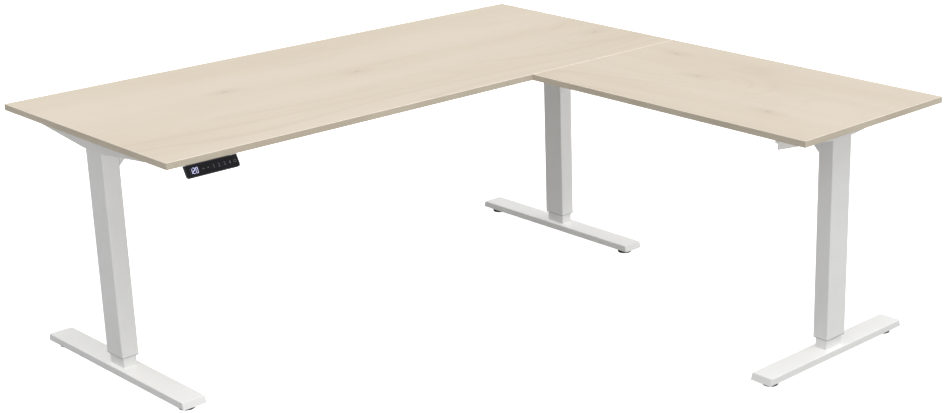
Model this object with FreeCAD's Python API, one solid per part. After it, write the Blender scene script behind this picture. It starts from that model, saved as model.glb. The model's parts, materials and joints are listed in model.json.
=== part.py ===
import FreeCAD, Part
import math
import os

from FreeCAD import Placement, Rotation, Vector

# Height adjustable corner desk: a main top and a return top on three powered two-stage columns.
# X runs along the main top, +Y points to the back of the desk and +Z up. The origin is on the
# floor, under the middle of the whole desk. The desk stands at its lowest height.
# Each leg is built in its own frame: u points from the column along the rails that it carries,
# v runs across them, along the foot and the side bracket.

# Tops
main_length = 1800.0
main_depth = 800.0
return_length = 1000.0
return_depth = 600.0
top_gap = 2.0
board = 18.0
band = 2.0
band_round = 1.2
desk_height = 715.0
lift_travel = 485.0

# Where the columns stand
leg_from_end = 80.0
leg_from_back = 353.0
return_leg_from_right = 308.0
return_leg_from_front = 128.0

# Feet
foot_clear = 15.0
foot_thick = 20.0
foot_width = 70.0
main_foot_length = 692.0
return_foot_length = 590.0
foot_wall = 2.5
foot_slope = 6.0
foot_round = 2.5

# Levelling glides
glide_radius = 22.0
glide_rim = 6.0
glide_neck_radius = 13.0
glide_neck_top = 13.0
glide_from_end = 42.0
stud_radius = 3.95
stud_end_room = 1.5
glide_chamfer = 1.0
stud_hole_radius = 4.0
weld_nut_radius = 8.0
weld_nut_height = 6.5

# Columns: outer and inner tube, v by u
outer_v = 80.0
outer_u = 50.0
outer_wall = 2.0
outer_round = 3.0
inner_v = 70.0
inner_u = 40.0
inner_wall = 2.0
inner_round = 3.0
inner_show = 30.0
ring_rim = 2.0
ring_height = 40.0
slide_height = 40.0
slide_clearance = 0.35
stop_clearance = 8.0
base_plate = 10.0

# Drive
gearbox_height = 44.0
gearbox_floor = 8.0
spindle_radius = 6.0
running_clearance = 0.05
nut_radius = 12.0
nut_height = 30.0
nut_below_inner_top = 30.0
push_tube_radius = 10.0
push_tube_bore = 7.5
push_tube_plug = 15.0
spindle_past_nut = 19.0
wheel_radius = 12.5
wheel_width = 14.0
wheel_clearance = 1.0
spindle_below_head = 4.0
worm_radius = 4.5
worm_length = 26.0
mesh_gap = 0.3
worm_below_head = 26.0
shaft_radius = 3.0
shaft_hole_radius = 6.0
journal_wall = 1.0
shaft_end_play = 1.0
motor_radius = 19.0
motor_length = 90.0
motor_cap_radius = 17.0
motor_cap_length = 14.0
shaft_into_motor = 12.0
motor_bore_room = 2.0

# Motor housing
sheet = 2.5
housing_length = 130.0
housing_foot_below_board = 97.0
housing_below_board = 57.0

# Side brackets
bracket_sheet = 3.0
bracket_length = 550.0
bracket_mid_depth = 53.5
bracket_tip_depth = 29.0
bracket_flange_past_column = 5.0
bracket_level_past_column = 4.0
bracket_inner_share = 0.8
bracket_screw_shares = (0.36, 0.64, 0.93)
bracket_bend = 2.0

# Rails
rail_width = 20.0
rail_height = 40.0
rail_wall = 2.0
rail_start = 30.0
rail_fit = 0.25
main_rail_length = 590.0
return_rail_front_length = 460.0
return_rail_rear_length = 460.0
rail_overlap = 130.0
joint_sheet = 3.0
joint_reach = 80.0
joint_half_width = 65.0

# Seam plates under the tops
seam_plate_length = 120.0
seam_plate_width = 60.0
seam_plate_sheet = 2.5
seam_plate_from_end = 80.0
seam_screw_from_side = 12.0
seam_screw_from_end = 15.0

# How far a cutting tool runs past a wall, and how close two levels are taken as one
over = 1.0
tiny = 1e-6
parallel = 0.9

# Fasteners
screw_radius = 2.0
screw_head_radius = 4.5
screw_head_height = 2.5
screw_hole_radius = 2.5
screw_bite = 13.0
access_radius = 5.5
bolt_radius = 3.0
bolt_hole_radius = 3.2
bolt_head_radius = 4.5
bolt_head_height = 4.0
bolt_nut_height = 5.0
countersink_radius = 5.5
bolt_edge = 12.0
bracket_bolt_from_face = 11.0
housing_bolt_from_side = 8.0
housing_bolt_from_top = 7.0
housing_bolt_from_foot = 18.0
rail_bolt_from_end = 12.0
rail_bolt_pitch = 14.0
bolt_bite = 12.0
housing_bolt_bite = 6.0
key_radius_share = 0.8
key_depth_share = 0.6
flat_key_share = 0.6
foot_bolt_radius = 4.0
foot_bolt_hole_radius = 4.2
foot_bolt_head_radius = 6.5
foot_bolt_head_height = 5.0
foot_bolt_access_radius = 8.0
push_bolt_end_room = 2.0
foot_bolt_from_wide_face = 8.0
foot_bolt_from_narrow_face = 10.0
rail_screw_from_housing = 30.0
rail_screw_from_insert = 20.0
clamp_from_end = 25.0
clamp_pitch = 50.0
joint_bolt_from_end = 20.0
joint_bolt_pitch = 40.0
joint_bolt_v = 18.0
joint_bolt_drop = 12.0
joint_bolt_rise = 16.0

# Control box
box_left = -450.0
box_length = 260.0
box_from_back = 160.0
box_width = 96.0
box_height = 36.0
box_wall = 2.0
box_ear = 14.0
box_round = 3.0
box_screw_from_end = 30.0
socket_wall = 2.0
inlet_width = 28.0
inlet_height = 20.0
inlet_depth = 16.0
lead_socket_width = 13.0
lead_socket_height = 10.0
lead_socket_depth = 12.0
lead_socket_pitch = 20.0
lead_sockets = 4

# Handset
handset_from_end = 45.5
handset_length = 152.0
handset_drop = 29.0
handset_forward = 16.0
handset_plate = 4.0
handset_back = 42.0
handset_back_drop = 7.0
handset_shoulder = 18.0
handset_body_inset = 20.0
handset_body_share = 0.8
handset_wall = 2.0
handset_corner = 7.0
panel_sheet = 1.5
panel_margin = 2.0
panel_corner = 5.0
panel_pocket_depth = 1.5
handset_screw_from_end = 35.0
handset_screw_from_back = 10.0

# Levels and edges worked out from the sizes above
back_y = (main_depth + top_gap + return_length) / 2
front_y = back_y - main_depth
return_back_y = front_y - top_gap
return_front_y = return_back_y - return_length
right_x = main_length / 2
left_x = -right_x
return_left_x = right_x - return_depth
under = desk_height - board
foot_top = foot_clear + foot_thick
ring_bottom = foot_top + inner_show
outer_bottom = ring_bottom + ring_rim
head_top = under - bracket_sheet
gearbox_bottom = head_top - gearbox_height
inner_top = gearbox_bottom - stop_clearance
nut_top = inner_top - nut_below_inner_top
nut_bottom = nut_top - nut_height
plate_top = foot_top + base_plate
spindle_bottom = nut_bottom - lift_travel - spindle_past_nut
worm_z = head_top - worm_below_head
worm_v = wheel_radius + worm_radius + mesh_gap
housing_end = outer_u / 2 + housing_length
rail_v = outer_v / 2 + rail_width / 2
rail_bottom = under - rail_height
rail_mid_z = under - rail_height / 2
leg_y = back_y - leg_from_back
return_leg_x = right_x - return_leg_from_right
return_leg_y = return_front_y + return_leg_from_front
joint_face = leg_y - rail_v - rail_width / 2 - return_leg_y
return_rail_end = joint_face - joint_sheet

LEGS = {
    "left": (left_x + leg_from_end, leg_y, 0, main_foot_length),
    "corner": (right_x - leg_from_end, leg_y, 180, main_foot_length),
    "return": (return_leg_x, return_leg_y, 90, return_foot_length),
}

Z = Vector(0, 0, 1)
U = Vector(1, 0, 0)
V = Vector(0, 1, 0)


def block(x0, x1, y0, y1, z0, z1):
    """A box between its low and high corners."""
    return Part.makeBox(x1 - x0, y1 - y0, z1 - z0, Vector(x0, y0, z0))


def rod(radius, start, direction, length):
    """A cylinder from its start point along a direction."""
    return Part.makeCylinder(radius, length, start, direction)


def rounded_bar(u_size, v_size, z0, z1, radius):
    """An upright bar of rounded rectangular section on the leg's axis."""
    bar = block(-u_size / 2, u_size / 2, -v_size / 2, v_size / 2, z0, z1)
    upright = [e for e in bar.Edges if abs(e.tangentAt(e.FirstParameter).z) > parallel]
    return bar.makeFillet(radius, upright)


def profile(points, direction):
    """A closed flat outline extruded by a vector."""
    wire = Part.makePolygon(points + points[:1])
    return Part.Face(wire).extrude(direction)


def cut_all(shape, tools):
    """The shape less every tool."""
    return shape.cut(tools) if tools else shape


def at_leg(shape, name):
    """A copy of a leg-frame shape, moved to the named leg."""
    x, y, angle, _ = LEGS[name]
    moved = shape.copy()
    moved.Placement = Placement(Vector(x, y, 0), Rotation(Z, angle)).multiply(moved.Placement)
    return moved


def row_point(name, u, v):
    """The row-frame X and Y of a point in a leg's frame."""
    x, y, angle, _ = LEGS[name]
    turned = Rotation(Z, angle).multVec(Vector(u, v, 0))
    return x + turned.x, y + turned.y


def hex_bolt(seat, direction, length, radius, head_radius, head_height):
    """A socket-head bolt: its head stands behind the seat point, its shank runs along direction."""
    head = rod(head_radius, seat - direction * head_height, direction, head_height)
    shank = rod(radius, seat, direction, length)
    key_depth = head_height * key_depth_share
    key = rod(radius * key_radius_share, seat - direction * head_height, direction, key_depth)
    return head.fuse(shank).cut(key).removeSplitter()


def machine_bolt(seat, direction, length):
    """A frame bolt."""
    return hex_bolt(seat, direction, length, bolt_radius, bolt_head_radius, bolt_head_height)


def hex_nut(seat, direction):
    """A plain round nut with its bore filled by the bolt that it holds."""
    body = rod(bolt_head_radius, seat, direction, bolt_nut_height)
    return body.cut(rod(bolt_radius, seat, direction, bolt_nut_height))


# ---- Tops -------------------------------------------------------------------------------------

screw_places = []


def wood_screw(x, y, seat):
    """A pan-head screw driven up from a seat height into the board."""
    screw_places.append((x, y))
    length = under + screw_bite - seat
    return hex_bolt(Vector(x, y, seat), Z, length, screw_radius, screw_head_radius, screw_head_height)


def edge_strips(x0, x1, y0, y1):
    """Four edging strips round a board: two long ones along X between two full ones along Y."""
    strips = []
    for y_low in (y0, y1 - band):
        strips.append(block(x0 + band, x1 - band, y_low, y_low + band, under, desk_height))
    for x_low in (x0, x1 - band):
        strips.append(block(x_low, x_low + band, y0, y1, under, desk_height))
    return [round_strip(s, x0, x1, y0, y1) for s in strips]


def round_strip(strip, x0, x1, y0, y1):
    """Round the outer top and bottom edges of one strip."""
    outer = []
    for edge in strip.Edges:
        mid = edge.CenterOfMass
        level = abs(mid.z - under) < tiny or abs(mid.z - desk_height) < tiny
        on_x = min(abs(mid.x - x0), abs(mid.x - x1)) < tiny
        on_y = min(abs(mid.y - y0), abs(mid.y - y1)) < tiny
        if level and edge.Length > 2 * band and (on_x or on_y):
            outer.append(edge)
    return strip.makeFillet(band_round, outer)


def core_board(x0, x1, y0, y1):
    """The laminated board inside its edging, with a blind pilot hole over each screw."""
    slab = block(x0 + band, x1 - band, y0 + band, y1 - band, under, desk_height)
    pilots = []
    for x, y in screw_places:
        if x0 < x < x1 and y0 < y < y1:
            pilots.append(rod(screw_radius, Vector(x, y, under), Z, screw_bite))
    return cut_all(slab, pilots)


# ---- Leg: column, drive, housing and foot, in the leg's frame ---------------------------------

def bracket_bolt_places():
    """Where the side bracket is bolted down on the gearbox."""
    u = outer_u / 2 - bracket_bolt_from_face
    v = outer_v / 2 - bolt_edge
    return [(i * u, j * v) for i in (-1, 1) for j in (-1, 1)]


def housing_bolt_places():
    """v and z of the bolts between motor housing and column."""
    low = under - housing_foot_below_board + housing_bolt_from_foot
    high = head_top - housing_bolt_from_top
    v = outer_v / 2 - housing_bolt_from_side
    return [(j * v, z) for j in (-1, 1) for z in (low, high)]


def rail_bolt_places():
    """u of the bolts between motor housing and rails."""
    last = housing_end - rail_bolt_from_end
    return [last, last - rail_bolt_pitch]


def outer_tube():
    """The outer column tube, fixed under the top."""
    tube = rounded_bar(outer_u, outer_v, outer_bottom, head_top, outer_round)
    hollow = rounded_bar(outer_u - 2 * outer_wall, outer_v - 2 * outer_wall, outer_bottom, head_top,
                         outer_round - outer_wall)
    holes = [hollow, rod(shaft_hole_radius, Vector(0, worm_v, worm_z), U, outer_u)]
    for v, z in housing_bolt_places():
        holes.append(rod(bolt_radius, Vector(outer_u / 2 - outer_wall - over, v, z), U,
                         outer_wall + 2 * over))
    return cut_all(tube, holes)


def guide_ring():
    """The plastic guide in the mouth of the outer tube, with a rim under the tube's end."""
    body = rounded_bar(outer_u - 2 * outer_wall, outer_v - 2 * outer_wall, outer_bottom,
                       ring_bottom + ring_height, outer_round - outer_wall)
    rim = rounded_bar(outer_u, outer_v, ring_bottom, outer_bottom, outer_round)
    way = rounded_bar(inner_u + 2 * slide_clearance, inner_v + 2 * slide_clearance, ring_bottom,
                      ring_bottom + ring_height, inner_round + slide_clearance)
    return body.fuse(rim).cut(way).removeSplitter()


def foot_bolt_places():
    """u and v of the four bolts that hold the foot to the column."""
    u = inner_u / 2 - foot_bolt_from_wide_face
    v = inner_v / 2 - foot_bolt_from_narrow_face
    return [(i * u, j * v) for i in (-1, 1) for j in (-1, 1)]


def inner_tube():
    """The inner column tube with its welded base plate, and the slide collar round its top."""
    tube = rounded_bar(inner_u, inner_v, foot_top, inner_top, inner_round)
    hollow = rounded_bar(inner_u - 2 * inner_wall, inner_v - 2 * inner_wall, plate_top, inner_top,
                         inner_round - inner_wall)
    holes = [hollow]
    for u, v in foot_bolt_places() + [(0, 0)]:
        holes.append(rod(foot_bolt_radius, Vector(u, v, foot_top), Z, base_plate))
    gap = outer_wall + slide_clearance
    collar = rounded_bar(outer_u - 2 * gap, outer_v - 2 * gap, inner_top - slide_height, inner_top,
                         outer_round - outer_wall)
    collar = collar.cut(rounded_bar(inner_u, inner_v, inner_top - slide_height, inner_top, inner_round))
    return [cut_all(tube, holes), collar]


def push_tube():
    """The tube that carries the drive nut, plugged at its foot, and the nut on its top."""
    tube = rod(push_tube_radius, Vector(0, 0, plate_top), Z, nut_bottom - plate_top)
    bore_bottom = plate_top + push_tube_plug
    bore = rod(push_tube_bore, Vector(0, 0, bore_bottom), Z, nut_bottom - bore_bottom)
    tapped = rod(foot_bolt_radius, Vector(0, 0, plate_top), Z, push_tube_plug)
    nut = rod(nut_radius, Vector(0, 0, nut_bottom), Z, nut_height)
    thread = rod(spindle_radius + running_clearance, Vector(0, 0, nut_bottom), Z, nut_height)
    return [tube.cut([bore, tapped]), nut.cut(thread)]


def spindle():
    """The lifting screw, and the worm wheel keyed on its top."""
    top = head_top - spindle_below_head
    screw = rod(spindle_radius, Vector(0, 0, spindle_bottom), Z, top - spindle_bottom)
    wheel = rod(wheel_radius, Vector(0, 0, worm_z - wheel_width / 2), Z, wheel_width)
    wheel = wheel.cut(rod(spindle_radius, Vector(0, 0, worm_z - wheel_width), Z, 2 * wheel_width))
    return [screw, wheel]


def gearbox():
    """The gearbox in the head of the outer tube: wheel chamber, worm tunnel and spindle bearing."""
    u_size = outer_u - 2 * outer_wall
    casing = rounded_bar(u_size, outer_v - 2 * outer_wall, gearbox_bottom, head_top,
                         outer_round - outer_wall)
    floor = gearbox_bottom + gearbox_floor
    chamber_radius = wheel_radius + wheel_clearance
    tunnel_start = -worm_length / 2 - wheel_clearance
    journal = shaft_radius + running_clearance
    tools = [
        rod(chamber_radius, Vector(0, 0, floor), Z, head_top - floor),
        rod(spindle_radius + running_clearance, Vector(0, 0, gearbox_bottom), Z, gearbox_height),
        rod(worm_radius + wheel_clearance, Vector(tunnel_start, worm_v, worm_z), U, outer_u),
        rod(journal, Vector(-u_size / 2 + journal_wall, worm_v, worm_z), U, u_size),
    ]
    for u, v in bracket_bolt_places():
        tools.append(rod(bolt_radius, Vector(u, v, head_top - bolt_bite), Z, bolt_bite))
    for v, z in housing_bolt_places():
        tools.append(rod(bolt_radius, Vector(u_size / 2 - housing_bolt_bite, v, z), U, 2 * housing_bolt_bite))
    return cut_all(casing, tools)


def worm():
    """The motor shaft with the worm cut on it."""
    start = -(outer_u / 2 - outer_wall) + journal_wall + shaft_end_play
    end = outer_u / 2 + sheet + shaft_into_motor
    shaft = rod(shaft_radius, Vector(start, worm_v, worm_z), U, end - start)
    return shaft.fuse(rod(worm_radius, Vector(-worm_length / 2, worm_v, worm_z), U, worm_length))


def motor():
    """The drive motor: a round can with a narrower end cap."""
    front = outer_u / 2 + sheet
    can = rod(motor_radius, Vector(front, worm_v, worm_z), U, motor_length - motor_cap_length)
    cap = rod(motor_cap_radius, Vector(front, worm_v, worm_z), U, motor_length)
    bore = rod(shaft_radius + running_clearance, Vector(front, worm_v, worm_z), U,
               shaft_into_motor + motor_bore_room)
    return can.fuse(cap).cut(bore).removeSplitter()


def motor_housing():
    """The pressed housing beside the column head, its lower corner cut off at 45 degrees."""
    near = outer_u / 2
    foot = under - housing_foot_below_board
    bottom = under - housing_below_board
    half = outer_v / 2
    outline = [
        Vector(near, -half, head_top),
        Vector(near, -half, foot),
        Vector(near + bottom - foot, -half, bottom),
        Vector(housing_end, -half, bottom),
        Vector(housing_end, -half, head_top),
    ]
    lift = sheet * (math.sqrt(2.0) - 1.0)
    inside = [
        Vector(near + sheet, -half + sheet, head_top),
        Vector(near + sheet, -half + sheet, foot + sheet + lift + sheet),
        Vector(near + bottom - foot - lift, -half + sheet, bottom + sheet),
        Vector(housing_end - sheet, -half + sheet, bottom + sheet),
        Vector(housing_end - sheet, -half + sheet, head_top),
    ]
    shell = profile(outline, V * (2 * half))
    tools = [profile(inside, V * (2 * half - 2 * sheet))]
    tools.append(rod(shaft_hole_radius, Vector(near - over, worm_v, worm_z), U, sheet + 2 * over))
    for v, z in housing_bolt_places():
        tools.append(rod(bolt_hole_radius, Vector(near - over, v, z), U, sheet + 2 * over))
    for u in rail_bolt_places():
        tools.append(rod(bolt_hole_radius, Vector(u, -half - over, rail_mid_z), V, 2 * half + 2 * over))
    return cut_all(shell, tools)


def bracket_screw_places():
    """v of the wood screws through each arm of the side bracket."""
    half = bracket_length / 2
    return [side * half * share for side in (-1, 1) for share in bracket_screw_shares]


def flange(u0, v_from, v_to):
    """One tapered flange of the side bracket between two distances from the column, on +v."""
    half = bracket_length / 2
    flat = outer_v / 2 + bracket_level_past_column

    def depth(v):
        run = max(0.0, v - flat) / (half - flat)
        return bracket_mid_depth + (bracket_tip_depth - bracket_mid_depth) * run

    points = [Vector(u0, v_from, under), Vector(u0, v_from, under - depth(v_from))]
    if v_from < flat < v_to:
        points.append(Vector(u0, flat, under - depth(flat)))
    points += [Vector(u0, v_to, under - depth(v_to)), Vector(u0, v_to, under)]
    return profile(points, U * bracket_sheet)


def side_bracket():
    """The folded bracket across the column head: a web under the board, a tapering flange along
    its outer side, and a shorter one inside, on each arm."""
    half = bracket_length / 2
    reach = outer_u / 2 + bracket_sheet
    web = block(-reach, reach, -half, half, head_top, under)
    pieces = []
    inner_from = outer_v / 2 + bracket_flange_past_column
    inner_to = half * bracket_inner_share
    for u0, v_from, v_to in ((-reach, 0.0, half), (reach - bracket_sheet, inner_from, inner_to)):
        arm = flange(u0, v_from, v_to)
        pieces += [arm, arm.mirror(Vector(0, 0, 0), V)]
    body = web.fuse(pieces).removeSplitter()
    bends = []
    for edge in body.Edges:
        mid = edge.CenterOfMass
        along = abs(edge.tangentAt(edge.FirstParameter).y) > parallel
        if along and abs(mid.z - under) < tiny and abs(abs(mid.x) - reach) < tiny:
            bends.append(edge)
    body = body.makeFillet(bracket_bend, bends)
    tools = []
    for u, v in bracket_bolt_places():
        tools.append(Part.makeCone(bolt_radius, countersink_radius, bracket_sheet, Vector(u, v, head_top), Z))
    for v in bracket_screw_places():
        tools.append(rod(screw_hole_radius, Vector(0, v, head_top), Z, bracket_sheet))
    return cut_all(body, tools)


def countersunk_bolt(u, v):
    """A flat-head bolt, flush with the bracket's web, down into the gearbox."""
    head = Part.makeCone(bolt_radius, countersink_radius, bracket_sheet, Vector(u, v, head_top), Z)
    shank = rod(bolt_radius, Vector(u, v, head_top - bolt_bite), Z, bolt_bite)
    key_floor = under - bracket_sheet * key_depth_share
    key = rod(bolt_radius * flat_key_share, Vector(u, v, key_floor), Z, bracket_sheet)
    return head.fuse(shank).cut(key).removeSplitter()


def head_bolts():
    """All the bolts at one column head, in the leg's frame."""
    bolts = [countersunk_bolt(u, v) for u, v in bracket_bolt_places()]
    seat_u = outer_u / 2 + sheet
    for v, z in housing_bolt_places():
        length = sheet + outer_wall
        if z > gearbox_bottom:
            length += housing_bolt_bite
        bolts.append(machine_bolt(Vector(seat_u, v, z), -U, length))
    for u in rail_bolt_places():
        bolts += side_bolt_pair(u, outer_v / 2 - sheet)
    return bolts


def side_bolt_pair(u, nut_face):
    """A bolt through each of the two rails at u, with its nut on the inner face."""
    pair = []
    outer = rail_v + rail_width / 2
    for side in (-1, 1):
        inward = V * -side
        length = outer - nut_face + bolt_nut_height
        pair.append(machine_bolt(Vector(u, side * outer, rail_mid_z), inward, length))
        pair.append(hex_nut(Vector(u, side * nut_face, rail_mid_z), inward))
    return pair


def foot_beam(length):
    """The hollow foot beam: sloping ends, rounded top edges, weld nuts for the glides."""
    def solid(inset, z0, z1):
        half = length / 2 - inset
        lean = foot_slope / foot_thick
        low = half - lean * (z0 - foot_clear)
        high = half - lean * (z1 - foot_clear)
        width = foot_width - 2 * inset
        points = [
            Vector(-width / 2, -low, z0),
            Vector(-width / 2, low, z0),
            Vector(-width / 2, high, z1),
            Vector(-width / 2, -high, z1),
        ]
        return profile(points, U * width)

    skin = solid(0.0, foot_clear, foot_top)
    rounded = [e for e in skin.Edges if e.BoundBox.ZMax > foot_top - tiny]
    skin = skin.makeFillet(foot_round, rounded)
    beam = skin.cut(solid(foot_wall, foot_clear + foot_wall, foot_top - foot_wall))
    nuts = []
    tools = []
    for side in (-1, 1):
        v = side * (length / 2 - glide_from_end)
        nuts.append(rod(weld_nut_radius, Vector(0, v, foot_clear + foot_wall), Z, weld_nut_height))
        tools.append(rod(stud_hole_radius, Vector(0, v, foot_clear), Z, foot_wall + weld_nut_height))
    for u, v in foot_bolt_places() + [(0, 0)]:
        tools.append(rod(foot_bolt_access_radius, Vector(u, v, foot_clear - over), Z, foot_wall + 2 * over))
        tools.append(rod(foot_bolt_hole_radius, Vector(u, v, foot_top - foot_wall - over), Z,
                         foot_wall + 2 * over))
    return cut_all(beam.fuse(nuts), tools)


def foot_bolts():
    """The bolts from inside the foot into the column's base plate, and the one into the push tube."""
    seat = foot_top - foot_wall
    bolts = []
    for u, v in foot_bolt_places():
        bolts.append(hex_bolt(Vector(u, v, seat), Z, foot_wall + base_plate, foot_bolt_radius,
                              foot_bolt_head_radius, foot_bolt_head_height))
    reach = foot_wall + base_plate + push_tube_plug - push_bolt_end_room
    bolts.append(hex_bolt(Vector(0, 0, seat), Z, reach, foot_bolt_radius, foot_bolt_head_radius,
                          foot_bolt_head_height))
    return bolts


def glide(v):
    """A levelling glide: a round pad on a threaded stud."""
    rim = rod(glide_radius, Vector(0, v, 0), Z, glide_rim)
    rim = rim.makeChamfer(glide_chamfer, [e for e in rim.Edges if e.BoundBox.ZMax < tiny])
    neck_height = glide_neck_top - glide_rim
    neck = Part.makeCone(glide_radius, glide_neck_radius, neck_height, Vector(0, v, glide_rim), Z)
    stud_top = foot_top - foot_wall - stud_end_room
    stud = rod(stud_radius, Vector(0, v, glide_rim), Z, stud_top - glide_rim)
    return rim.fuse([neck, stud]).removeSplitter()


# ---- Rails ------------------------------------------------------------------------------------

def rail_tube(u0, u1, screws, clamps, side_bolts):
    """A pair of rails from u0 to u1 in a leg's frame, with their holes."""
    pair = []
    for v in (-rail_v, rail_v):
        low, high = v - rail_width / 2, v + rail_width / 2
        tube = block(u0, u1, low, high, rail_bottom, under)
        tools = [block(u0, u1, low + rail_wall, high - rail_wall, rail_bottom + rail_wall,
                       under - rail_wall)]
        for u in screws:
            tools.append(rod(screw_hole_radius, Vector(u, v, under - rail_wall), Z, rail_wall))
            tools.append(rod(access_radius, Vector(u, v, rail_bottom), Z, rail_wall))
        for u in clamps:
            tools.append(rod(bolt_hole_radius, Vector(u, v, rail_bottom), Z, rail_wall))
        for u in side_bolts:
            tools.append(rod(bolt_hole_radius, Vector(u, low - over, rail_mid_z), V, rail_width + 2 * over))
        pair.append(cut_all(tube, tools))
    return pair


def rail_insert(u0, u1):
    """The pair of smaller tubes that slide in the rails and bridge them."""
    side = rail_wall + rail_fit
    pair = []
    for v in (-rail_v, rail_v):
        low, high = v - rail_width / 2 + side, v + rail_width / 2 - side
        tube = block(u0, u1, low, high, rail_bottom + side, under - side)
        bore = block(u0, u1, low + rail_wall, high - rail_wall, rail_bottom + side + rail_wall,
                     under - side - rail_wall)
        pair.append(tube.cut(bore))
    return pair


def clamp_screws(clamps):
    """The screws that press on the inserts from under the rails."""
    return [machine_bolt(Vector(u, v, rail_bottom), Z, rail_wall + rail_fit)
            for u in clamps for v in (-rail_v, rail_v)]


def clamp_places(end, inward):
    """Two clamp screws near a rail's inner end, which lies at end; inward is -1 or 1."""
    first = end + inward * clamp_from_end
    return [first, first + inward * clamp_pitch]


def joint_bolt_places():
    """u of the bolts between the joint bracket's ears and the return rails."""
    last = return_rail_end - joint_bolt_from_end
    return [last, last - joint_bolt_pitch]


def joint_plate_places():
    """v and z of the bolts between the joint bracket and the main rail."""
    high = under - joint_bolt_drop
    return [(j * joint_bolt_v, z) for j in (-1, 1) for z in (high, high - joint_bolt_rise)]


def joint_bracket():
    """The bracket that hangs the return rails on the main rail, in the return leg's frame."""
    plate = block(return_rail_end, joint_face, -joint_half_width, joint_half_width, rail_bottom, under)
    inner = outer_v / 2
    ears = []
    for low in (-inner, inner - joint_sheet):
        ears.append(block(return_rail_end - joint_reach, return_rail_end, low, low + joint_sheet,
                          rail_bottom, under))
    tools = []
    for u in joint_bolt_places():
        tools.append(rod(bolt_hole_radius, Vector(u, -inner - over, rail_mid_z), V, 2 * inner + 2 * over))
    for v, z in joint_plate_places():
        tools.append(rod(bolt_radius, Vector(return_rail_end - over, v, z), U, joint_sheet + 2 * over))
    return cut_all(plate.fuse(ears).removeSplitter(), tools)


def joint_bolts():
    """The bolts of the joint bracket, in the return leg's frame."""
    bolts = []
    for v, z in joint_plate_places():
        bolts.append(machine_bolt(Vector(return_rail_end, v, z), U, joint_sheet + rail_wall))
    for u in joint_bolt_places():
        bolts += side_bolt_pair(u, outer_v / 2 - joint_sheet)
    return bolts


# ---- Control box and handset ------------------------------------------------------------------

box_right = box_left + box_length
box_y1 = back_y - box_from_back
box_y0 = box_y1 - box_width
box_z1 = under - box_wall
box_z0 = box_z1 - box_height
box_mid_y = (box_y0 + box_y1) / 2
box_mid_z = (box_z0 + box_z1) / 2


def box_screw_places():
    """X and Y of the screws through the ears of the control box."""
    return [(x, y) for x in (box_left + box_screw_from_end, box_right - box_screw_from_end)
            for y in (box_y0 - box_ear / 2, box_y1 + box_ear / 2)]


def lead_socket_places():
    """Y of the sockets for three motors and the handset."""
    middle = (lead_sockets - 1) / 2
    return [box_mid_y + (i - middle) * lead_socket_pitch for i in range(lead_sockets)]


def control_base():
    """The steel plate of the control box, with its ears."""
    plate = block(box_left, box_right, box_y0 - box_ear, box_y1 + box_ear, box_z1, under)
    holes = [rod(screw_hole_radius, Vector(x, y, box_z1), Z, box_wall) for x, y in box_screw_places()]
    return cut_all(plate, holes)


def control_cover():
    """The plastic cover, open to the base plate, with windows for the sockets in its ends."""
    shell = block(box_left, box_right, box_y0, box_y1, box_z0, box_z1)
    lower = [e for e in shell.Edges if e.BoundBox.ZMin < box_z0 + tiny]
    shell = shell.makeFillet(box_round, lower)
    hollow = block(box_left + box_wall, box_right - box_wall, box_y0 + box_wall, box_y1 - box_wall,
                   box_z0 + box_wall, box_z1)
    windows = [socket_block(*inlet_socket_size())] + [socket_block(*s) for s in lead_socket_sizes()]
    return cut_all(shell, [hollow] + windows)


def inlet_socket_size():
    """Face X, direction, middle Y, width, height and depth of the mains inlet."""
    return box_left, 1, box_mid_y, inlet_width, inlet_height, inlet_depth


def lead_socket_sizes():
    """The same for each motor and handset socket."""
    return [(box_right, -1, y, lead_socket_width, lead_socket_height, lead_socket_depth)
            for y in lead_socket_places()]


def socket_block(face, inward, y, width, height, depth):
    """The outer block of one socket, from its face into the box."""
    half_w = width / 2 + socket_wall
    half_h = height / 2 + socket_wall
    far = face + inward * (depth + socket_wall)
    return block(min(face, far), max(face, far), y - half_w, y + half_w, box_mid_z - half_h,
                 box_mid_z + half_h)


def socket_recess(face, inward, y, width, height, depth):
    """The open recess of one socket."""
    far = face + inward * depth
    return block(min(face, far), max(face, far), y - width / 2, y + width / 2,
                 box_mid_z - height / 2, box_mid_z + height / 2)


def sockets():
    """The mains inlet and the four lead sockets."""
    sizes = [inlet_socket_size()] + lead_socket_sizes()
    return [socket_block(*s).cut(socket_recess(*s)) for s in sizes]


handset_x0 = left_x + handset_from_end
handset_x1 = handset_x0 + handset_length
face_top = Vector(handset_x0, front_y, under)
face_low = Vector(handset_x0, front_y - handset_forward, under - handset_drop)
face_down = (face_low - face_top).normalize()
face_height = (face_low - face_top).Length
face_out = U.cross(face_down) * -1


def face_slab(margin, out_from, out_to, corner):
    """A prism on the sloping face: inset by margin, between two distances out of the face."""
    if out_to < out_from:
        out_from, out_to = out_to, out_from
    length = handset_length - 2 * margin
    start = face_top + U * margin + face_down * margin + face_out * out_from
    down = face_down * (face_height - 2 * margin)
    points = [start, start + U * length, start + U * length + down, start + down]
    slab = profile(points, face_out * (out_to - out_from))
    lower = []
    for edge in slab.Edges:
        across = abs(edge.tangentAt(edge.FirstParameter).dot(face_out)) > parallel
        if across and (edge.CenterOfMass - face_top).dot(face_down) > face_height / 2:
            lower.append(edge)
    return slab.makeFillet(corner, lower)


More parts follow.
